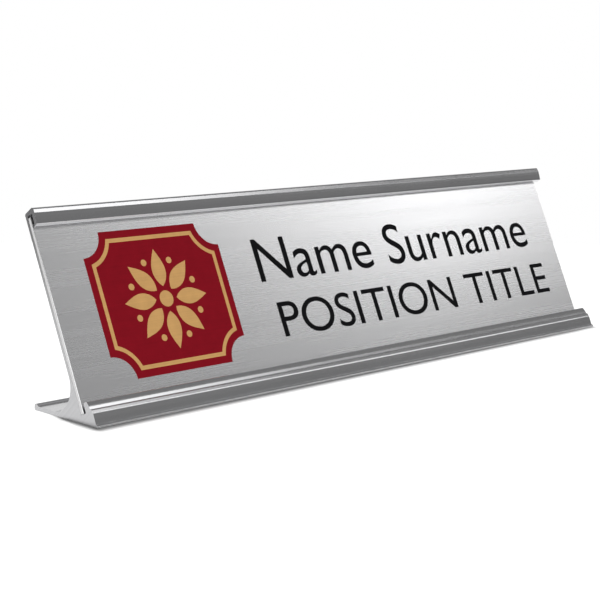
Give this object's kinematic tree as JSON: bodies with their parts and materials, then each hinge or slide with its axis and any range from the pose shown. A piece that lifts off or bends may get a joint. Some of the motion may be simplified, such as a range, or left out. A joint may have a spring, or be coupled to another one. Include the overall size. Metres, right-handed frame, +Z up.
{
  "type": "desk name plate",
  "caption": "Leaning desk name plate: an extruded aluminium holder with a flat foot and open-ended channels, and a brushed insert sheet that slides out sideways.",
  "frame": {"origin": "middle of the holder's flat underside, on the desk", "axes": "+X along the plate, to the reader's right; the face looks towards -Y; +Z up"},
  "size_m": [0.2048, 0.0288, 0.0511],
  "materials": {
    "holder_aluminium": "clear satin anodised extrusion",
    "insert_core_plastic": "saw-cut light core",
    "insert_face_brushed": "brushed along its length",
    "print_black": "printed ink",
    "print_crimson": "printed ink",
    "print_tan": "printed ink"
  },
  "bodies": {
    "holder": {"holder": "holder_aluminium"},
    "insert": {"insert_core": "insert_core_plastic", "insert_face": "insert_face_brushed"}
  },
  "joints": [
    {"name": "insert_slide", "type": "slide", "parent": "holder", "child": "insert", "axis": [1, 0, 0], "range_m": [-0.206, 0.207]}
  ]
}
